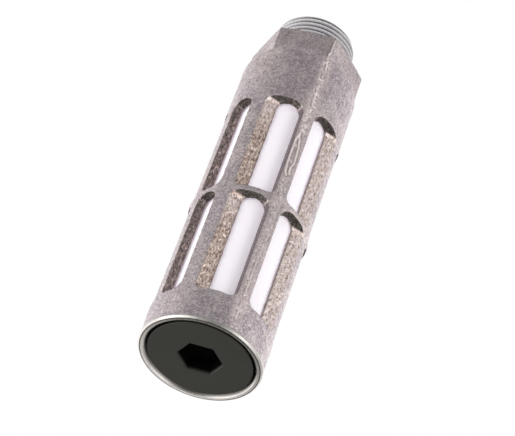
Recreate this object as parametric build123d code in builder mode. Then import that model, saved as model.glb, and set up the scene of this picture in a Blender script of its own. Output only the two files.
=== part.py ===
from build123d import *
from math import cos, radians, sqrt, tan
import os

os.makedirs("parts", exist_ok=True)

# Pneumatic muffler, pipe thread size 3/4.
# Frame: the origin is the centre of the flat seat at the foot of the hexagon,
# where the male pipe thread begins. +Z runs up the axis to the plug end, the
# thread points down -Z, and +X lies in the parting plane of the casting, on a
# corner of the hexagon.

# ---------------------------------------------------------------- dimensions
# housing, outside
body_r = 19.0                # barrel radius (diameter 38)
rim_z = 127.0                # open end of the barrel
shoulder_z = 14.1            # where the barrel starts to round into the hexagon
shoulder_mid = (18.18, 10.57) # a point on the rounded shoulder (radius, z)
shoulder_foot = (15.9, 7.75) # where the shoulder meets the hexagon flats
hex_af = 32.0                # across flats
hex_chamfer_deg = 13.0       # slight turned chamfer on the foot of the hexagon
rim_chamfer = 0.55           # outer edge of the machined rim

# male pipe thread G3/4
g_major_r = 26.441 / 2
g_minor_r = 24.117 / 2
g_pitch = 1.8143
g_length = 11.0
g_crest = 0.30               # flat left on the crest
g_relief = 1.9               # plain neck between the thread and the seat
g_chamfer = 1.0              # lead-in at the end of the thread
seat_r = g_major_r + 0.25    # where the flat seat begins, outside the thread
seat_undercut = 0.35         # depth of the turned undercut inside the seat

# housing, inside
inlet_r = 9.5                # air inlet through the neck
inlet_chamfer = 0.8
floor_z = 18.0               # seat for the foot of the sleeve
pocket_r = 15.6              # pocket round the foot of the sleeve
pocket_z = 22.0
bore_r = 15.85               # bore behind the windows

# windows: two rows of eight, drawn square to the parting plane
half_rib = 2.12              # half width of the ribs on the Y axis
inner_rib = (9.44, 13.32)    # x span of the ribs between the windows
parting_rib = 2.09           # half width of the ribs on the parting plane
rows = [(33.6, 73.2), (75.1, 115.2)]   # z span of each row
r_small, r_mid, r_big = 1.3, 2.4, 4.4  # corner radii of the side windows
r_front, r_front_low, r_front_high = 3.3, 1.8, 3.3   # corner radii of the front windows

# plug thread 33.6 x 1.5 between housing and plug
m_pitch = 1.5
m_major_r = 16.8
m_minor_r = 15.99
m_bottom = 116.2             # lowest point of the internal thread
flank_gap = 0.05             # axial play on each flank
mouth_r = 17.4               # countersink at the open end
bore_start = 200.0           # angle at which the housing's groove starts
plug_start = 120.0           # angle at which the plug's groove starts

# porous sleeve
sleeve_r = 15.5
sleeve_bore_r = 12.2
sleeve_top = 117.6

# end plug
plug_top = 126.8             # slightly recessed below the rim
plug_seat = 117.7            # underside that meets the sleeve
head_r = 15.85               # plain head above the plug's thread
head_z = 125.35              # foot of the head
face_r = 16.1                # thin flange round the face of the plug
face_foot = 126.05           # underside of the flange
face_edge = 0.15
spigot_r = 12.1              # centres the sleeve
spigot_len = 5.0
spigot_bore_r = 9.8
socket_af = 12.0
socket_depth = 5.6
socket_mouth = 0.35          # chamfer round the mouth of the socket
socket_turn = -4.5           # angle of the socket's corners about Z


# ------------------------------------------------------------ thread profiles
m_mid_r = m_major_r - 0.3248 * m_pitch
slope = tan(radians(30))


def half_space(r, gap):
    """half width, along the axis, of the groove of the female plug thread"""
    return m_pitch / 4 - (r - m_mid_r) * slope + gap


# ------------------------------------------------------------------- hexagon
with BuildPart() as hexagon:
    with BuildSketch(Plane.XY):
        RegularPolygon(radius=hex_af / 2, side_count=6, major_radius=False)
    extrude(amount=shoulder_z + 2)
    # turned chamfer: a cone cuts the corners back down to the across-flats circle
    corner_r = hex_af / 2 / cos(radians(30)) + 1.0
    rise = (corner_r - hex_af / 2 + 0.15) * tan(radians(hex_chamfer_deg))
    with BuildSketch(Plane.XZ):
        with BuildLine():
            Polyline(
                (hex_af / 2 - 0.15, 0),
                (corner_r, rise),
                (corner_r, -1),
                (hex_af / 2 - 0.15, -1),
                close=True,
            )
        make_face()
    revolve(axis=Axis.Z, mode=Mode.SUBTRACT)

# ------------------------------------------------- cutters for the windows
def row_corners(sketch, x, low):
    """corners of the window profiles that lie at x, at one end of each row"""
    ends = [r[0] if low else r[1] for r in rows]
    return sketch.vertices().filter_by(
        lambda v: abs(v.X - x) < 0.01 and min(abs(v.Y - e) for e in ends) < 0.01)


# side window: bounded by the flank of a rib (square to X) and by the flank of
# the rib on the parting plane (square to Y)
with BuildPart() as side_windows:
    with BuildSketch(Plane.XZ) as across:
        for z0, z1 in rows:
            with Locations((inner_rib[1], z0)):
                Rectangle(9, z1 - z0, align=(Align.MIN, Align.MIN))
        fillet(row_corners(across, inner_rib[1], True), radius=r_mid)
        fillet(row_corners(across, inner_rib[1], False), radius=r_small)
    extrude(amount=-24)
    with BuildSketch(Plane.YZ) as along:
        for z0, z1 in rows:
            with Locations((parting_rib, z0)):
                Rectangle(26, z1 - z0, align=(Align.MIN, Align.MIN))
        fillet(row_corners(along, parting_rib, True), radius=r_big)
        fillet(row_corners(along, parting_rib, False), radius=r_mid)
    extrude(amount=26, mode=Mode.INTERSECT)

# front window: bounded by the central rib and the next rib
with BuildPart() as front_windows:
    with BuildSketch(Plane.XZ.offset(-10)) as front:
        for z0, z1 in rows:
            with Locations((half_rib, z0)):
                Rectangle(inner_rib[0] - half_rib, z1 - z0, align=(Align.MIN, Align.MIN))
        fillet(row_corners(front, half_rib, True), radius=r_front)
        fillet(row_corners(front, inner_rib[0], True), radius=r_front)
        fillet(row_corners(front, half_rib, False), radius=r_front_low)
        fillet(row_corners(front, inner_rib[0], False), radius=r_front_high)
    extrude(amount=-12)

with BuildPart() as windows:
    add(side_windows.part)
    add(front_windows.part)
    mirror(about=Plane.XZ)
    mirror(about=Plane.YZ)

# ------------------------------------------------------ thread groove cutters
# each is one helical groove, turned to its own starting angle when it is cut
g_z0 = -g_length - 0.9 * g_pitch
with BuildPart() as pipe_groove:
    with BuildLine() as g_path:
        Helix(pitch=g_pitch, height=-g_relief + 0.25 - g_z0, radius=g_minor_r,
              center=(0, 0, g_z0))
    with BuildSketch(Plane.XZ):
        with BuildLine():
            flank = tan(radians(27.5))
            top = (g_pitch - g_crest) / 2
            root = top - (g_major_r - g_minor_r) * flank
            over = 0.15
            Polyline(
                (g_minor_r, g_z0 - root),
                (g_major_r + over, g_z0 - top - over * flank),
                (g_major_r + over, g_z0 + top + over * flank),
                (g_minor_r, g_z0 + root),
                close=True,
            )
        make_face()
    sweep(path=g_path.line, is_frenet=True)

# the plug's groove lies half a pitch from the housing's groove at every angle
p_z0 = m_bottom + m_pitch / 2
m_z0 = p_z0 - m_pitch / 2 + m_pitch * (bore_start - plug_start) / 360
with BuildPart() as socket_groove:
    with BuildLine() as m_path:
        Helix(pitch=m_pitch, height=6.9 * m_pitch, radius=m_minor_r,
              center=(0, 0, m_z0))
    with BuildSketch(Plane.XZ):
        with BuildLine():
            inner, outer = m_minor_r - 0.1, m_major_r + 0.04
            Polyline(
                (inner, m_z0 - half_space(inner, 0)),
                (outer, m_z0 - half_space(outer, 0)),
                (outer, m_z0 + half_space(outer, 0)),
                (inner, m_z0 + half_space(inner, 0)),
                close=True,
            )
        make_face()
    sweep(path=m_path.line, is_frenet=True)

crest_r = m_major_r - 0.13
root_r = m_minor_r - 0.10
with BuildPart() as plug_groove:
    with BuildLine() as p_path:
        Helix(pitch=m_pitch, height=6.8 * m_pitch, radius=root_r,
              center=(0, 0, p_z0))
    with BuildSketch(Plane.XZ):
        with BuildLine():
            # what this groove leaves is a ridge thinner than the housing's groove
            outer = crest_r + 0.1
            w_root = m_pitch / 2 - half_space(root_r, -flank_gap)
            w_crest = m_pitch / 2 - half_space(outer, -flank_gap)
            Polyline(
                (root_r, p_z0 - w_root),
                (outer, p_z0 - w_crest),
                (outer, p_z0 + w_crest),
                (root_r, p_z0 + w_root),
                close=True,
            )
        make_face()
    sweep(path=p_path.line, is_frenet=True)

# ------------------------------------------------------------- housing blank
with BuildPart() as housing:
    # barrel, rounded shoulder and neck, all turned about the axis
    with BuildSketch(Plane.XZ):
        with BuildLine():
            Polyline(
                (body_r, shoulder_z),
                (body_r, rim_z - rim_chamfer),
                (body_r - rim_chamfer, rim_z),
                (0, rim_z),
                (0, -g_length),
                (g_major_r - g_chamfer, -g_length),
                (g_major_r, -g_length + g_chamfer),
                (g_major_r, -g_relief - 0.6),
                (g_minor_r - 0.1, -g_relief),
                (g_minor_r - 0.1, 0.5),
                (shoulder_foot[0] - 1.2, 0.5),
                (shoulder_foot[0] - 1.2, shoulder_foot[1] - 0.9),
                shoulder_foot,
            )
            ThreePointArc(shoulder_foot, shoulder_mid, (body_r, shoulder_z))
        make_face()
    revolve(axis=Axis.Z)
    add(hexagon.part)

    # inlet, sleeve pocket, bore behind the windows and plug thread bore
    with BuildSketch(Plane.XZ):
        with BuildLine():
            Polyline(
                (0, -g_length - 1),
                (inlet_r + inlet_chamfer, -g_length - 1),
                (inlet_r + inlet_chamfer, -g_length),
                (inlet_r, -g_length + inlet_chamfer),
                (inlet_r, floor_z - 2.2),
                (inlet_r + 2.2, floor_z),
                (pocket_r, floor_z),
                (pocket_r, pocket_z),
                (bore_r, pocket_z + 0.6),
                (bore_r, m_bottom - 0.5),
                (m_minor_r, m_bottom),
                (m_minor_r, rim_z - 0.9),
                (m_major_r + 0.05, rim_z - 0.04),
                (m_major_r + 0.05, rim_z + 1),
                (0, rim_z + 1),
                close=True,
            )
        make_face()
    revolve(axis=Axis.Z, mode=Mode.SUBTRACT)

    # undercut where the neck meets the seat
    with BuildSketch(Plane.XZ):
        with BuildLine():
            Polyline(
                (g_minor_r - 0.1, -0.4),
                (g_minor_r - 0.1, seat_undercut),
                (seat_r, 0),
                (seat_r, -0.4),
                close=True,
            )
        make_face()
    revolve(axis=Axis.Z, mode=Mode.SUBTRACT)

    # male pipe thread and internal plug thread
    add(pipe_groove.part, rotation=(0, 0, 180), mode=Mode.SUBTRACT)
    add(socket_groove.part, rotation=(0, 0, bore_start), mode=Mode.SUBTRACT)

    # countersunk mouth, turned after the thread
    with BuildSketch(Plane.XZ):
        with BuildLine():
            inside = m_minor_r - 1
            Polyline(
                (inside, rim_z - (mouth_r - inside)),
                (mouth_r + 1, rim_z + 1),
                (inside, rim_z + 1),
                close=True,
            )
        make_face()
    revolve(axis=Axis.Z, mode=Mode.SUBTRACT)

    # windows
    add(windows.part, mode=Mode.SUBTRACT)

housing.part.label = "housing"
export_step(housing.part, "parts/housing.step")

# -------------------------------------------------------------------- sleeve
with BuildPart() as silencer_sleeve:
    with BuildSketch(Plane.XY.offset(floor_z + 0.1)):
        Circle(sleeve_r)
        Circle(sleeve_bore_r, mode=Mode.SUBTRACT)
    extrude(amount=sleeve_top - floor_z - 0.1)
    chamfer(silencer_sleeve.edges().filter_by(GeomType.CIRCLE), length=0.4)

silencer_sleeve.part.label = "silencer_sleeve"
export_step(silencer_sleeve.part, "parts/silencer_sleeve.step")

# ------------------------------------------------------------------ end plug
with BuildPart() as end_plug:
    with BuildSketch(Plane.XZ):
        with BuildLine():
            Polyline(
                (0, plug_top),
                (head_r, plug_top),
                (head_r, head_z),
                (crest_r, head_z - (crest_r - head_r)),
                (crest_r, plug_seat + 0.9),
                (crest_r - 0.9, plug_seat),
                (spigot_r, plug_seat),
                (spigot_r, plug_seat - spigot_len + 0.8),
                (spigot_r - 0.8, plug_seat - spigot_len),
                (spigot_bore_r, plug_seat - spigot_len),
                (spigot_bore_r, plug_seat + 0.6),
                (0, plug_seat + 0.6),
                close=True,
            )
        make_face()
    revolve(axis=Axis.Z)
    # hexagon socket
    with BuildSketch(Plane.XY.offset(plug_top)):
        RegularPolygon(radius=socket_af / 2, side_count=6, major_radius=False,
                       rotation=socket_turn)
    extrude(amount=-socket_depth, mode=Mode.SUBTRACT)
    chamfer(end_plug.faces().sort_by(Axis.Z)[-1].inner_wires()[0].edges(), length=socket_mouth)
    # male plug thread, in phase with the thread of the housing
    add(plug_groove.part, rotation=(0, 0, plug_start), mode=Mode.SUBTRACT)
    # flange round the face, above the thread
    with BuildSketch(Plane.XZ):
        with BuildLine():
            Polyline(
                (head_r - 0.5, face_foot),
                (face_r, face_foot),
                (face_r, plug_top - face_edge),
                (face_r - face_edge, plug_top),
                (head_r - 0.5, plug_top),
                close=True,
            )
        make_face()
    revolve(axis=Axis.Z)

end_plug.part.label = "end_plug"
export_step(end_plug.part, "parts/end_plug.step")
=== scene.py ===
"""A silencer with a die-cast aluminium barrel, a porous sleeve and a black end plug.

The barrel's axis is Z: the pipe thread ends at the lowest z, and the rim of the open
mouth is at the highest. The parting plane of the casting is y = 0. Modelling sizes are
in mm and are turned into metres by MM; shader, stage and light sizes are in metres.
"""
import math
from itertools import product

import bmesh
import bpy
import numpy as np
from mathutils import Matrix, Vector


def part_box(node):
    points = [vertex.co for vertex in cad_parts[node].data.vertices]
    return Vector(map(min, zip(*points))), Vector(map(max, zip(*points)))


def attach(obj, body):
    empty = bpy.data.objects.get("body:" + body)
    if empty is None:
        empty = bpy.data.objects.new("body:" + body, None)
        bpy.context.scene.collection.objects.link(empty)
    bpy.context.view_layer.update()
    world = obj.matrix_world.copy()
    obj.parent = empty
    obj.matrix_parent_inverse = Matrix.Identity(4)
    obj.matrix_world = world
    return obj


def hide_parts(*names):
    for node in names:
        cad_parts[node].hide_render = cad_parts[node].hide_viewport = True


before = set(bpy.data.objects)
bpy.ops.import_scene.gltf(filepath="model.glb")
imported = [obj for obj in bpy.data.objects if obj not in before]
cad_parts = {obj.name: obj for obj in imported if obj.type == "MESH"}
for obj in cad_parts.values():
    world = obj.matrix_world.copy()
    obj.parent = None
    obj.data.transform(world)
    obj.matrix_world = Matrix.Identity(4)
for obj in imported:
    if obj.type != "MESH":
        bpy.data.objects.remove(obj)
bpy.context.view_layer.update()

MM = 0.001


def corners(box):
    return [[float(v) for v in box[0]], [float(v) for v in box[1]]]


low_corner, high_corner = corners(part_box("housing"))
BARREL_R = (high_corner[0] - low_corner[0]) / 2 / MM
Z_RIM = high_corner[2] / MM          # open end
Z_TIP = low_corner[2] / MM           # end of the pipe thread

# Where the crisp machined zones are parted from the cast skin
MOUTH_R = 17.45                      # the internal thread lies within this radius
MOUTH_Z = 115.4                      # and above this height
RIM_DEPTH = 0.95
NECK_Z = -0.75                       # the pipe thread lies below this height
CUT_MARGIN = 1                       # by which the cutters overshoot the housing
LATHE_SEGMENTS = 192
LATHE_PHASE = 0.37                   # turn of the first vertex, in segments
WELD_DISTANCE = 2e-7                 # m
SKIN_VOXEL = 0.00028                 # m
SHARP_ANGLE = math.radians(24)

# Cast skin
SKIN_INSET = 0.16                    # the skin lies this far in, so that flash can stand on it
FLASH_HEIGHT = 0.16
GROOVE_DEPTH = 0.05
SKIN_CLEARANCE = 0.004               # kept inside the barrel radius

# Flash lines near the parting plane: [(y, z), ...], half width, strength
FLASH_POS_X = [
    ([(0.0, 1.9), (0.05, 8.6)], 0.20, 0.75),
    ([(0.30, 8.2), (0.30, 12.8), (-0.02, 16.0), (0.06, 20.8), (0.2, 25.6), (0.3, 30.3),
      (0.0, 34.9), (0.15, 37.9), (0.4, 41.8), (0.8, 46.7)], 0.23, 0.95),
    ([(0.55, 36.0), (0.75, 40.5), (0.85, 45.0)], 0.18, 0.7),
    # two lines that part and close again round a tongue
    ([(0.91, 46.7), (1.45, 48.8), (1.50, 53.6), (1.45, 59.2), (1.18, 62.5), (0.55, 64.0)],
     0.25, 1.0),
    ([(0.91, 46.7), (0.3, 48.0), (-0.30, 51.5), (-0.6, 55.9), (-0.7, 58.2), (0.0, 60.6),
      (-0.3, 62.9)], 0.25, 1.0),
    ([(-0.9, 84.0), (-0.75, 87.0), (-0.6, 90.5)], 0.20, 0.8),
    ([(-0.2, 92.5), (-0.05, 101.6), (0.05, 109.2), (0.02, 115.9), (0.11, 122.1)], 0.20, 0.7),
]
FLASH_NEG_X = [
    ([(0.1, 8.6), (0.0, 20.0), (-0.1, 33.0), (0.1, 47.0), (0.0, 62.0), (0.1, 76.0),
      (-0.1, 98.0), (0.0, 122.0)], 0.22, 0.8),
]

# Lumps of flash: angle in degrees, z, reach round the barrel, reach along it, height
LUMPS = [
    (-71.0, 75.6, 4.0, 4.6, 0.45),
    (106.5, 72.4, 3.6, 4.4, 0.24),
    (-69.5, 35.0, 3.2, 3.8, 0.32),
    (104.0, 118.0, 3.0, 4.4, 0.24),
]
LUMP_ARC_R = 19                      # turns the lumps' angles into lengths
LUMP_SWELL = 0.85                    # share of a lump's height that is raised
LUMP_UPPER_SCALE = 0.6               # distances shrink above a lump, so it trails upwards

scene = bpy.context.scene
scene.view_settings.view_transform = "Standard"
scene.view_settings.look = "None"
scene.view_settings.exposure = 0.0
scene.view_settings.gamma = 1.0


# ------------------------------------------------------------------ noise
def lattice_hash(cell, seed):
    """A repeatable random value in -1..1 for each integer cell."""
    h = cell.astype(np.uint64) * np.array([73856093, 19349663, 83492791], np.uint64)
    h = h[:, 0] ^ h[:, 1] ^ h[:, 2] ^ np.uint64(seed * 2654435761 % (1 << 32))
    h = (h ^ (h >> np.uint64(13))) * np.uint64(1274126177)
    h = (h ^ (h >> np.uint64(16))) & np.uint64(0xFFFFFF)
    return h.astype(np.float64) / float(0xFFFFFF) * 2 - 1


def value_noise(points, size, seed):
    """Smooth noise in -1..1; size is one length, or one per axis."""
    grid = points / np.asarray(size, float) + 1000.0 + seed * 17.13
    cell = np.floor(grid).astype(np.int64)
    f = grid - cell
    f = f * f * f * (f * (f * 6 - 15) + 10)
    total = 0
    for corner in product((0, 1), repeat=3):
        weight = np.where(corner, f, 1 - f)
        weight = weight[:, 0] * weight[:, 1] * weight[:, 2]
        total = total + weight * lattice_hash(cell + np.array(corner), seed)
    return total


def layered_noise(points, size, seed, octaves=2, gain=0.5):
    size = np.asarray(size, float)
    total, amplitude, weight = 0, 1.0, 0.0
    for k in range(octaves):
        total = total + amplitude * value_noise(points, size / (2 ** k), seed + k * 7)
        weight += amplitude
        amplitude *= gain
    return total / weight


def ease(value, off, on):
    """0 at off, 1 at on, eased between them and held beyond."""
    t = np.clip((value - off) / (on - off), 0, 1)
    return t * t * (3 - 2 * t)


# ------------------------------------------------------------------ mesh helpers
def new_object(name, mesh):
    obj = bpy.data.objects.new(name, mesh)
    scene.collection.objects.link(obj)
    return obj


def welded_housing(name):
    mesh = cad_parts["housing"].data.copy()
    mesh.name = name
    bm = bmesh.new()
    bm.from_mesh(mesh)
    bmesh.ops.remove_doubles(bm, verts=bm.verts, dist=WELD_DISTANCE)
    bm.to_mesh(mesh)
    bm.free()
    mesh.materials.clear()
    for attribute in list(mesh.attributes):
        # guards against attributes that can't be removed, or that went with an earlier one
        try:
            if attribute.name.startswith("custom") or attribute.name in ("sharp_face",
                                                                         "sharp_edge"):
                mesh.attributes.remove(attribute)
        except Exception:
            pass
    return new_object(name, mesh)


def lathe(name, profile):
    """Closed solid of revolution about Z; profile is (r, z), with both ends on the axis."""
    verts, faces, rings = [], [], []
    for r, z in profile:
        count = LATHE_SEGMENTS if r else 1
        rings.append(range(len(verts), len(verts) + count))
        for k in range(count):
            angle = 2 * math.pi * (k + LATHE_PHASE) / LATHE_SEGMENTS
            verts.append((r * MM * math.cos(angle), r * MM * math.sin(angle), z * MM))
    for lower, upper in zip(rings, rings[1:]):
        for k in range(LATHE_SEGMENTS):
            j = (k + 1) % LATHE_SEGMENTS
            if len(lower) == 1:
                faces.append((lower[0], upper[k], upper[j]))
            elif len(upper) == 1:
                faces.append((lower[k], upper[0], lower[j]))
            else:
                faces.append((lower[k], upper[k], upper[j], lower[j]))
    mesh = bpy.data.meshes.new(name)
    mesh.from_pydata(verts, [], faces)
    bm = bmesh.new()
    bm.from_mesh(mesh)
    bmesh.ops.recalc_face_normals(bm, faces=bm.faces)
    bm.to_mesh(mesh)
    bm.free()
    return new_object(name, mesh)


def baked(source, name):
    """A new object with the source's modifiers applied; the source is removed."""
    depsgraph = bpy.context.evaluated_depsgraph_get()
    depsgraph.update()
    mesh = bpy.data.meshes.new_from_object(source.evaluated_get(depsgraph), depsgraph=depsgraph)
    mesh.name = name
    source_mesh = source.data
    bpy.data.objects.remove(source)
    if source_mesh.users == 0:
        bpy.data.meshes.remove(source_mesh)
    return new_object(name, mesh)


def housing_part(part, operation, cutters, voxel=None):
    """The housing cut by each cutter in turn, and remeshed if a voxel size is given."""
    obj = welded_housing(part + "_src")
    for cutter in cutters:
        cut = obj.modifiers.new("cut", "BOOLEAN")
        cut.object = cutter
        cut.operation = operation
        cut.solver = "EXACT"
    if voxel:
        remesh = obj.modifiers.new("remesh", "REMESH")
        remesh.mode = "VOXEL"
        remesh.voxel_size = voxel
        remesh.adaptivity = 0.0
    return baked(obj, "housing_" + part)


def vertex_vectors(mesh, key):
    values = np.empty(len(mesh.vertices) * 3, np.float64)
    mesh.vertices.foreach_get(key, values)
    return values.reshape(-1, 3)


def shade_smooth(mesh):
    mesh.polygons.foreach_set("use_smooth", np.ones(len(mesh.polygons), bool))


# ------------------------------------------------------------------ cast skin
def skin_zones(points, normals):
    """The outer skin's mask, and the masks the material reads, by attribute name."""
    x, y, z = points.T
    r = np.hypot(x, y)
    safe_r = np.maximum(r, 1e-9)
    outward = normals[:, 0] * (x / safe_r) + normals[:, 1] * (y / safe_r)
    steep = np.abs(normals[:, 2])

    # walls of the windows: flanks run along the axis, ends lie across it
    in_rows = ease(z, off=32.6, on=33.2) * (1 - ease(z, off=115.6, on=116.2))
    wall = ease(r, off=15.7, on=15.95) * (1 - ease(r, off=18.78, on=18.96)) * in_rows
    wall = wall * ease(outward, off=-0.85, on=-0.6)
    flank = wall * ease(steep, off=0.75, on=0.55)
    end = wall * ease(steep, off=0.55, on=0.75)

    # flanks beside the parting plane are smooth; flanks far out along X get painted light (for y
    # > 0 only in lit_rows), and the other flanks get painted shade
    parting = ease(np.abs(normals[:, 1]), off=0.5, on=0.8) * ease(np.abs(y), off=3.4, on=2.6)
    bright = ease(np.abs(x), off=11.6, on=12.6)
    side = flank * (1 - parting)
    lit_rows = ease(z, off=52, on=36) + ease(z, off=76, on=78) * ease(z, off=94, on=79)
    lit_flank = side * bright * np.where(y < 0, 0.75, 0.75 * lit_rows)
    outer = ease(outward, off=0.35, on=0.7) * ease(r, off=15.0, on=15.6) * (1 - wall)
    return outer, {
        "side": side,
        "endw": end,
        "shaded_flank": flank * (1 - bright) * (1 - parting),
        # painted shade: a contact shadow along the flanks' inner border, by the sleeve
        "flank_contact_shade": side * ease(r, off=16.45, on=16.05),
        "foot": 0.20 * outer * ease(z, off=8.6, on=6.8),
        "lit_flank": lit_flank,
        "parting": flank * parting,
    }


def line_distance(line, y, z):
    """Distance from each (y, z) to a polyline."""
    best = np.full(y.shape, 1e9)
    for (y0, z0), (y1, z1) in zip(line, line[1:]):
        dy, dz = y1 - y0, z1 - z0
        k = np.clip(((y - y0) * dy + (z - z0) * dz) / (dy * dy + dz * dz), 0, 1)
        best = np.minimum(best, np.hypot(y - y0 - k * dy, z - z0 - k * dz))
    return best


def flash_masks(points, outer):
    """Ridges of flash, the grooves beside them and the pale band about them."""
    x, y, z = points.T
    r = np.maximum(np.hypot(x, y), 1e-9)
    flash, groove, band = (np.zeros(len(points)) for _ in range(3))
    speck = value_noise(points, size=0.42, seed=61) + 0.5 * value_noise(points, size=1.1, seed=67)
    unbroken = ((z > 46) & (z < 65)) | (z < 8.6)
    for lines, sign in ((FLASH_POS_X, 1), (FLASH_NEG_X, -1)):
        facing = ease(sign * x / r, off=0.6, on=0.8) * outer
        along = np.c_[z * 0, z * 0, z]
        breaks = ease(value_noise(along, size=1.9, seed=43 + sign), off=-0.65, on=0.15)
        breaks *= 0.5 + 0.5 * ease(value_noise(points, size=0.8, seed=47), off=-0.6, on=0.2)
        breaks = np.where(unbroken, np.maximum(breaks, 0.8), breaks)
        for line, width, strength in lines:
            away = line_distance(line, y, z)
            ridge = facing * strength * breaks
            flash = np.maximum(flash, ridge * ease(away, off=width + 0.19, on=width * 0.4))
            groove = np.maximum(groove, ridge * ease(away, off=width + 0.75, on=width + 0.25))
            halo = facing * ease(away, off=3.6, on=0.6) * ease(z, off=8.0, on=10.5)
            band = np.maximum(band, halo)
        scatter = facing * ease(np.abs(y - 0.3), off=2.1, on=0.3) * ease(z, off=9.0, on=11.0)
        scatter = scatter * ease(speck, off=0.12, on=0.45)
        flash = np.maximum(flash, scatter * np.where(z < 47, 0.8, 0.45))
    return flash, groove * (1 - flash), band


def skin_height(points, outer, side, end):
    """Inset and roughness of the skin, along its normals."""
    height = -SKIN_INSET * outer * ease(points[:, 2], off=13.0, on=16.0)
    height += outer * (0.030 * layered_noise(points, size=2.6, seed=3)
                       + 0.024 * layered_noise(points, size=0.9, seed=11)
                       + 0.014 * value_noise(points, size=0.6, seed=13))
    coarse = layered_noise(points, size=(1.3, 1.3, 2.2), seed=23, octaves=3, gain=0.6)
    height += side * (0.13 * coarse + 0.12 * value_noise(points, size=(0.7, 0.7, 1.0), seed=29))
    height += end * (0.07 * layered_noise(points, size=1.2, seed=31))
    return height


def lump_height(points, outer):
    x, y, z = points.T
    angle = np.degrees(np.arctan2(y, x))
    height = 0
    for centre, lump_z, reach_round, reach_along, rise in LUMPS:
        arc = ((angle - centre + 180) % 360 - 180) * math.pi / 180 * LUMP_ARC_R
        along = np.where(z > lump_z, LUMP_UPPER_SCALE, 1.0) * np.abs(z - lump_z)
        height = height + (LUMP_SWELL * rise * outer
                           * ease(np.abs(arc), off=reach_round, on=reach_round * 0.3)
                           * ease(along, off=reach_along, on=0.0))
    return height


def roughen_casting(mesh):
    points = vertex_vectors(mesh, "co") / MM
    normals = vertex_vectors(mesh, "normal")
    outer, zones = skin_zones(points, normals)
    flash, groove, band = flash_masks(points, outer)
    height = skin_height(points, outer, zones["side"], zones["endw"])
    height += FLASH_HEIGHT * flash - GROOVE_DEPTH * groove
    height += lump_height(points, outer)

    moved = points + normals * height[:, None]
    limit = BARREL_R - SKIN_CLEARANCE
    moved[:, :2] = np.clip(moved[:, :2], -limit, limit)
    mesh.vertices.foreach_set("co", (moved * MM).astype(np.float32).ravel())
    mesh.update()
    masks = {"side": zones.pop("side"), "endw": zones.pop("endw"), "flash": flash,
             **zones, "groove": groove, "band": band}
    for name, mask in masks.items():
        attribute = mesh.attributes.new(name, "FLOAT", "POINT")
        attribute.data.foreach_set("value", np.asarray(mask, np.float32))
    shade_smooth(mesh)


# ------------------------------------------------------------------ housing
machined_cutter = lathe("cut", [
    (0, MOUTH_Z), (MOUTH_R, MOUTH_Z), (MOUTH_R, Z_RIM - RIM_DEPTH),
    (BARREL_R + CUT_MARGIN, Z_RIM - RIM_DEPTH), (BARREL_R + CUT_MARGIN, Z_RIM + CUT_MARGIN),
    (0, Z_RIM + CUT_MARGIN)])
neck_cutter = lathe("cut2", [
    (0, Z_TIP - CUT_MARGIN), (BARREL_R, Z_TIP - CUT_MARGIN), (BARREL_R, NECK_Z), (0, NECK_Z)])

rim = housing_part("rim", "INTERSECT", [machined_cutter])
neck = housing_part("neck", "INTERSECT", [neck_cutter])
cast = housing_part("cast", "DIFFERENCE", [machined_cutter, neck_cutter], voxel=SKIN_VOXEL)
for cutter in (machined_cutter, neck_cutter):
    bpy.data.objects.remove(cutter)

roughen_casting(cast.data)
for machined in (rim, neck):
    shade_smooth(machined.data)
    machined.data.set_sharp_from_angle(angle=SHARP_ANGLE)


# ------------------------------------------------------------------ shader helpers
class Shader:
    """A node tree that ends in a surface node; its methods add nodes and return sockets."""

    def __init__(self, owner, output, surface):
        owner.use_nodes = True
        self.owner = owner
        self.tree = owner.node_tree
        self.tree.nodes.clear()
        end = self.add(output)
        self.surface = self.add(surface)
        self.feed(end, {0: self.surface.outputs[0]})

    def feed(self, node, inputs):
        for key, value in inputs.items():
            socket = node.inputs[key]
            if isinstance(value, bpy.types.NodeSocket):
                self.tree.links.new(value, socket)
            elif socket.type == "RGBA":
                socket.default_value = (*value, 1)
            else:
                socket.default_value = value

    def add(self, kind, inputs={}, **settings):
        node = self.tree.nodes.new("ShaderNode" + kind)
        for key, value in settings.items():
            setattr(node, key, value)
        self.feed(node, inputs)
        return node

    def place(self):
        return self.add("TexCoord").outputs["Object"]

    def attribute(self, name):
        return self.add("Attribute", attribute_name=name).outputs["Fac"]

    def noise(self, vector, scale, detail, roughness):
        return self.add("TexNoise", {"Vector": vector, "Scale": scale, "Detail": detail,
                                     "Roughness": roughness}).outputs[0]

    def ramp(self, factor, stops):
        """stops are (position, colour)"""
        node = self.add("ValToRGB", {0: factor})
        elements = node.color_ramp.elements
        while len(elements) < len(stops):
            elements.new(0.5)
        for element, (position, colour) in zip(elements, stops):
            element.position = position
            element.color = (*colour, 1)
        return node.outputs[0]

    def remap(self, value, span, to=(0.0, 1.0)):
        inputs = {0: value, 1: span[0], 2: span[1], 3: to[0], 4: to[1]}
        return self.add("MapRange", inputs).outputs[0]

    def mix(self, factor, first, second):
        """blend of two colours"""
        return self.add("Mix", {0: factor, 6: first, 7: second}, data_type="RGBA",
                        blend_type="MIX").outputs[2]

    def lerp(self, factor, first, second):
        """blend of two numbers"""
        return self.add("Mix", {0: factor, 2: first, 3: second}, data_type="FLOAT").outputs[0]

    def tint(self, base, mask, amount, colour, span=(0.0, 1.0)):
        """base blended by up to amount towards colour, as mask crosses span"""
        return self.mix(self.remap(mask, span, to=(0.0, amount)), base, colour)

    def math(self, operation, first, second):
        return self.add("Math", {0: first, 1: second}, operation=operation).outputs[0]

    def vector(self, operation, inputs, output="Vector"):
        return self.add("VectorMath", inputs, operation=operation).outputs[output]

    def xyz(self, vector):
        return self.add("SeparateXYZ", {0: vector}).outputs

    def bump(self, height, distance, strength, below=None):
        inputs = {"Height": height, "Distance": distance, "Strength": strength}
        if below is not None:
            inputs["Normal"] = below
        return self.add("Bump", inputs).outputs[0]


def new_material(name, surface="BsdfPrincipled"):
    return Shader(bpy.data.materials.new(name), "OutputMaterial", surface)


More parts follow.
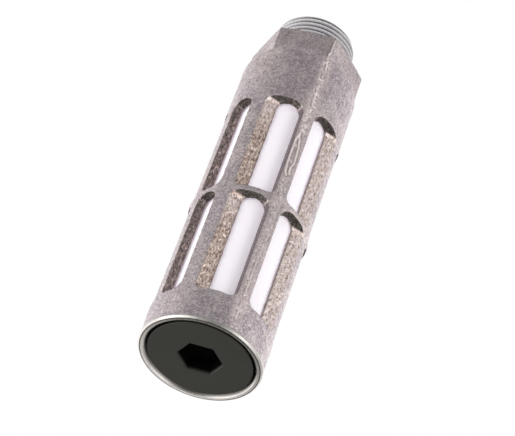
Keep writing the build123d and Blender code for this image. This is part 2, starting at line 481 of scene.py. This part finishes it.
# ------------------------------------------------------------------ materials
def cast_skin_material():
    """Fine mottled skin, with coarse grain on the window flanks that carries painted glints,
    painted light and painted shade.
    """
    sh = new_material("cast_aluminium_skin")
    place = sh.place()
    broad = sh.noise(place, scale=75, detail=2, roughness=0.5)
    blotch = sh.noise(place, scale=230, detail=3, roughness=0.6)
    mottle = sh.noise(place, scale=860, detail=3, roughness=0.75)
    fine = sh.noise(place, scale=1900, detail=2, roughness=0.7)
    colour = sh.ramp(broad, [(0.36, (0.53, 0.46, 0.50)), (0.5, (0.60, 0.52, 0.54)),
                             (0.64, (0.70, 0.60, 0.595))])
    # dark and light mottling, coarse to fine: noise, span, amount, colour
    for mask, span, amount, shade in (
            (blotch, (0.50, 0.68), 0.45, (0.38, 0.315, 0.35)),
            (blotch, (0.50, 0.34), 0.40, (0.88, 0.78, 0.77)),
            (mottle, (0.50, 0.68), 0.60, (0.26, 0.21, 0.235)),
            (mottle, (0.49, 0.33), 0.50, (0.96, 0.86, 0.85)),
            (fine, (0.50, 0.68), 0.55, (0.20, 0.16, 0.18)),
            (fine, (0.49, 0.33), 0.55, (1.0, 0.92, 0.90))):
        colour = sh.tint(colour, mask, amount, shade, span)
    colour = sh.tint(colour, sh.attribute("band"), amount=0.42, colour=(0.96, 0.80, 0.78))

    # grain of the flanks, drawn out along the axis; the light stops of the flank ramps are
    # painted glints
    drawn = sh.add("Mapping", {"Scale": (1.0, 1.0, 0.5), "Vector": place}).outputs[0]
    grain = sh.noise(drawn, scale=1500, detail=4, roughness=0.85)
    patch = sh.noise(place, scale=330, detail=2, roughness=0.5)
    flank = sh.ramp(grain, [(0.38, (0.21, 0.14, 0.115)), (0.46, (0.56, 0.415, 0.355)),
                            (0.53, (0.86, 0.64, 0.56)), (0.585, (1.0, 0.90, 0.82))])
    flank = sh.tint(flank, patch, amount=0.45, colour=(1.0, 0.84, 0.74), span=(0.48, 0.66))
    flank = sh.tint(flank, patch, amount=0.30, colour=(0.30, 0.20, 0.17), span=(0.46, 0.32))
    # painted light: a lighter copy of the flank grain where lit_flank is set
    lit_flank_grain = sh.ramp(grain, [(0.38, (0.34, 0.235, 0.20)), (0.45, (0.84, 0.655, 0.60)),
                             (0.51, (1.0, 0.875, 0.845)), (0.60, (1.0, 0.92, 0.905))])
    flank = sh.mix(sh.attribute("lit_flank"), flank, lit_flank_grain)
    # painted shade: a darker copy of the flank grain on the shaded flanks
    dark = sh.ramp(grain, [(0.38, (0.11, 0.095, 0.085)), (0.52, (0.33, 0.27, 0.255)),
                           (0.66, (0.95, 0.78, 0.70))])
    flank = sh.mix(sh.attribute("shaded_flank"), flank, dark)
    # painted shade: a contact shadow along the flanks' inner border
    flank = sh.tint(flank, sh.attribute("flank_contact_shade"), amount=0.7, colour=(0.14, 0.10, 0.085))

    colour = sh.mix(sh.attribute("side"), colour, flank)
    colour = sh.mix(sh.attribute("foot"), colour, (0.30, 0.25, 0.265))
    # painted shade: the flanks beside the parting plane are tinted dark
    colour = sh.tint(colour, sh.attribute("parting"), amount=0.88, colour=(0.15, 0.12, 0.13))
    # painted shade: the grooves beside the flash are tinted dark
    colour = sh.tint(colour, sh.attribute("groove"), amount=0.7, colour=(0.24, 0.19, 0.19))
    # painted shade: the end walls of the windows are coloured near black
    ends = sh.ramp(grain, [(0.38, (0.015, 0.012, 0.010)), (0.54, (0.085, 0.07, 0.06)),
                           (0.68, (0.40, 0.34, 0.30))])
    colour = sh.mix(sh.attribute("endw"), colour, ends)
    flash = sh.attribute("flash")
    # painted highlight: the flash ridges and the specks about them are coloured near white
    colour = sh.mix(flash, colour, (1.0, 0.90, 0.87))

    metallic = sh.lerp(sh.attribute("endw"), 0.9, 0.2)
    metallic = sh.lerp(flash, metallic, 0.05)
    metallic = sh.lerp(sh.attribute("lit_flank"), metallic, 0.35)
    glint = sh.math("MULTIPLY", sh.remap(grain, span=(0.53, 0.60)),
                    sh.lerp(sh.attribute("shaded_flank"), sh.attribute("side"), 0.0))
    metallic = sh.lerp(glint, metallic, 0.15)

    roughness = sh.remap(mottle, span=(0.3, 0.7), to=(0.40, 0.54))
    roughness = sh.lerp(sh.attribute("side"), roughness, 0.30)
    roughness = sh.lerp(sh.attribute("endw"), roughness, 0.75)
    roughness = sh.lerp(flash, roughness, 0.35)

    relief = sh.bump(blotch, distance=0.00030, strength=0.8)
    relief = sh.bump(fine, distance=0.00005, strength=0.9, below=relief)
    relief = sh.bump(mottle, distance=0.00010, strength=0.9, below=relief)
    flank_grain = sh.lerp(sh.attribute("side"), 0.5, grain)
    relief = sh.bump(flank_grain, distance=0.00022, strength=1.0, below=relief)
    sh.feed(sh.surface, {"Base Color": colour, "Metallic": metallic,
                         "Roughness": roughness, "Normal": relief})
    return sh.owner


def turned_material():
    """Machined aluminium with fine turning marks."""
    sh = new_material("turned_aluminium")
    place = sh.place()
    x, y, z = sh.xyz(place)
    flat = sh.add("CombineXYZ", {0: x, 1: y}).outputs[0]
    radius = sh.vector("LENGTH", {0: flat}, output="Value")
    radius_and_z = sh.add("CombineXYZ", {0: radius, 2: z}).outputs[0]
    marks = sh.noise(radius_and_z, scale=5200, detail=2, roughness=0.6)
    spots = sh.noise(place, scale=700, detail=2, roughness=0.6)
    colour = sh.ramp(marks, [(0.3, (0.62, 0.59, 0.56)), (0.7, (0.84, 0.805, 0.76))])
    colour = sh.tint(colour, spots, amount=0.35, colour=(0.50, 0.48, 0.47), span=(0.5, 0.8))

    # painted shade: the countersink of the mouth is darkened towards the bore, and a fine dark
    # line runs round the face
    mouth = sh.remap(radius, span=(0.01722, 0.01690))
    colour = sh.mix(sh.lerp(mouth, 0.0, 0.85), colour, (0.16, 0.145, 0.135))
    line = sh.math("MULTIPLY", sh.remap(radius, span=(0.01806, 0.01812)),
                   sh.remap(radius, span=(0.01850, 0.01844)))
    colour = sh.mix(sh.lerp(line, 0.0, 0.9), colour, (0.13, 0.10, 0.08))

    # pipe thread: painted highlight on the crests, painted shade in blue-grey roots
    on_neck = sh.remap(z, span=(-0.0006, -0.0009))
    crest = sh.remap(radius, span=(0.01250, 0.01316))
    thread = sh.mix(crest, (0.34, 0.345, 0.37), (0.84, 0.815, 0.82))
    colour = sh.mix(on_neck, colour, thread)
    metallic = sh.lerp(on_neck, 1.0, sh.remap(crest, span=(0.0, 1.0), to=(0.75, 0.25)))

    # faces turned towards +Z are slightly crowned: their normals lean outwards
    radial = sh.vector("NORMALIZE", {0: flat})
    lean = sh.vector("SCALE", {0: radial, "Scale": 0.20})
    facing = sh.xyz(sh.add("NewGeometry").outputs["Normal"])[2]
    lean = sh.vector("SCALE", {0: lean, "Scale": sh.remap(facing, span=(0.9, 0.99))})
    relief = sh.bump(marks, distance=0.00002, strength=0.7)
    crown = sh.vector("NORMALIZE", {0: sh.vector("ADD", {0: relief, 1: lean})})
    sh.feed(sh.surface, {
        "Base Color": colour, "Metallic": metallic, "Normal": crown,
        "Roughness": sh.remap(spots, span=(0.3, 0.7), to=(0.22, 0.36))})
    return sh.owner


def sleeve_material():
    sh = new_material("porous_polyethylene")
    place = sh.place()
    pores = sh.noise(place, scale=2600, detail=2, roughness=0.6)
    cloud = sh.noise(place, scale=260, detail=2, roughness=0.5)
    sh.feed(sh.surface, {
        "Base Color": sh.ramp(cloud, [(0.3, (0.94, 0.89, 0.955)), (0.7, (0.97, 0.92, 0.985))]),
        "Roughness": 0.62,
        "Subsurface Weight": 0.7,
        "Subsurface Radius": (1.0, 0.9, 0.9),
        "Subsurface Scale": 0.003,
        # painted light: the sleeve glows faintly, which evens out its shading
        "Emission Color": (0.96, 0.88, 0.98),
        "Emission Strength": 0.18,
        "Normal": sh.bump(pores, distance=0.00003, strength=0.5)})
    return sh.owner


def plug_material():
    """Black moulding; painted shade darkens its socket's walls, and dulls their reflection, with
    depth.
    """
    sh = new_material("black_moulding")
    place = sh.place()
    grain = sh.noise(place, scale=2200, detail=2, roughness=0.6)
    cloud = sh.noise(place, scale=220, detail=3, roughness=0.6)
    colour = sh.ramp(cloud, [(0.3, (0.022, 0.0215, 0.0165)), (0.7, (0.028, 0.027, 0.021))])
    z = sh.xyz(place)[2]
    # painted shade: the socket darkens below this span
    depth = ((Z_RIM - 1.6) * MM, (Z_RIM - 0.65) * MM)
    sh.feed(sh.surface, {
        "Base Color": sh.mix(sh.remap(z, span=depth), (0.003, 0.003, 0.0025), colour),
        "Roughness": sh.remap(cloud, span=(0.3, 0.7), to=(0.42, 0.50)),
        "Specular IOR Level": sh.remap(z, span=depth, to=(0.05, 0.35)),
        "Normal": sh.bump(grain, distance=0.00002, strength=0.5)})
    return sh.owner


def floor_material():
    """White to the camera and clear to other rays, so the studio lights from below too."""
    sh = new_material("pale_floor", surface="MixShader")
    sh.feed(sh.surface, {
        0: sh.add("LightPath").outputs["Is Camera Ray"],
        1: sh.add("BsdfTransparent").outputs[0],
        2: sh.add("Emission", {"Color": (1, 1, 1), "Strength": 1.0}).outputs[0]})
    return sh.owner


cast_metal = cast_skin_material()
turned_metal = turned_material()
cad_materials = {"silencer_sleeve": sleeve_material(), "end_plug": plug_material()}

for obj, metal in ((cast, cast_metal), (rim, turned_metal), (neck, turned_metal)):
    obj.data.materials.clear()
    obj.data.materials.append(metal)
    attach(obj, "housing")
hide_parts("housing")

for name, material in cad_materials.items():
    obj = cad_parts[name]
    if not obj.material_slots:
        obj.data.materials.append(material)
    for slot in obj.material_slots:
        slot.material = material

# ------------------------------------------------------------------ floor
FLOOR_HALF = 0.9
FLOOR_Z = Z_TIP * MM - 0.0002        # just clear of the thread's end
floor_mesh = bpy.data.meshes.new("floor")
floor_mesh.from_pydata([(sx * FLOOR_HALF, sy * FLOOR_HALF, FLOOR_Z)
                        for sx, sy in ((-1, -1), (1, -1), (1, 1), (-1, 1))],
                       [], [(0, 1, 2, 3)])
floor = new_object("floor", floor_mesh)
floor_mesh.materials.append(floor_material())

# ------------------------------------------------------------------ camera
CAMERA_PLACE = Vector((487.2314, 154.5589, 502.7111)) * MM
# the camera's own axes
RIGHT = Vector((0.49903289, -0.82594317, -0.26226716))
UP = Vector((0.47362820, 0.51339769, -0.71561103))
BACK = Vector((0.72570139, 0.23289631, 0.64739231))

camera_data = bpy.data.cameras.new("camera")
camera_data.sensor_fit = "HORIZONTAL"
camera_data.sensor_width = 36.0
camera_data.lens = 152.140
camera_data.shift_x = -0.0004
camera_data.clip_start = 0.01
camera_data.clip_end = 20
camera = new_object("camera", camera_data)
axes = Matrix((RIGHT, UP, BACK)).transposed()
camera.matrix_world = Matrix.Translation(CAMERA_PLACE) @ axes.to_4x4()
scene.camera = camera


# ------------------------------------------------------------------ light
def build_world():
    """A studio whose brightness depends on direction; the camera itself sees white."""
    world = bpy.data.worlds.new("studio")
    scene.world = world
    sh = Shader(world, "OutputWorld", "Background")
    direction = sh.add("TexCoord").outputs["Generated"]

    def along(axis):
        return sh.vector("DOT_PRODUCT", {0: direction, 1: axis}, output="Value")

    azimuth = math.atan2(BACK.y, BACK.x)
    # level directions: towards the camera, and to the right in its view
    toward = along(Vector((math.cos(azimuth), math.sin(azimuth), 0)))
    right = along(Vector((math.sin(azimuth), -math.cos(azimuth), 0)))
    up = along(Vector((0, 0, 1)))

    # below the horizon: brighter away from the camera and to the right
    low = sh.math("POWER", sh.remap(toward, span=(-0.76, 0.76), to=(1.0, 0.0)), 1.8)
    low = sh.remap(low, span=(0.0, 1.0), to=(0.262, 1.22))
    low = sh.math("MULTIPLY", low, sh.remap(right, span=(-1.0, 1.0), to=(0.90, 1.36)))
    # above it: behind the barrel, on the camera's side, and a dark patch by the camera
    behind = sh.remap(up, span=(0.3, 0.85), to=(0.95, 0.10))
    behind = sh.math("MULTIPLY", behind, sh.remap(right, span=(-0.6, 0.6), to=(1.35, 0.6)))
    front = sh.remap(right, span=(-0.9, 0.9), to=(1.62, 1.52))
    high = sh.lerp(sh.remap(toward, span=(-0.3, 0.3)), behind, front)
    patch = sh.remap(along(BACK), span=(0.70, 0.94), to=(1.0, 0.12))
    high = sh.math("MULTIPLY", high, patch)
    total = sh.lerp(sh.remap(up, span=(-0.25, 0.15)), low, high)
    seen = sh.add("LightPath").outputs["Is Camera Ray"]
    sh.feed(sh.surface, {"Color": (1, 1, 1), "Strength": sh.lerp(seen, total, 1.0)})


def softbox(name, direction, power, distance=0.9, size=0.5):
    """Square light aimed at a point on the barrel's axis."""
    light = bpy.data.lights.new(name, "AREA")
    light.shape = "SQUARE"
    light.size = size
    light.energy = power
    obj = new_object(name, light)
    direction = direction.normalized()
    obj.location = Vector((0, 0, 0.06)) + direction * distance
    obj.rotation_euler = direction.to_track_quat("Z", "Y").to_euler()


build_world()
softbox("key_left", -RIGHT * 1.0 + UP * 0.35 + BACK * 0.45, power=4.0)
softbox("key_right", RIGHT * 1.0 + UP * 0.1 + BACK * 0.45, power=2.0)
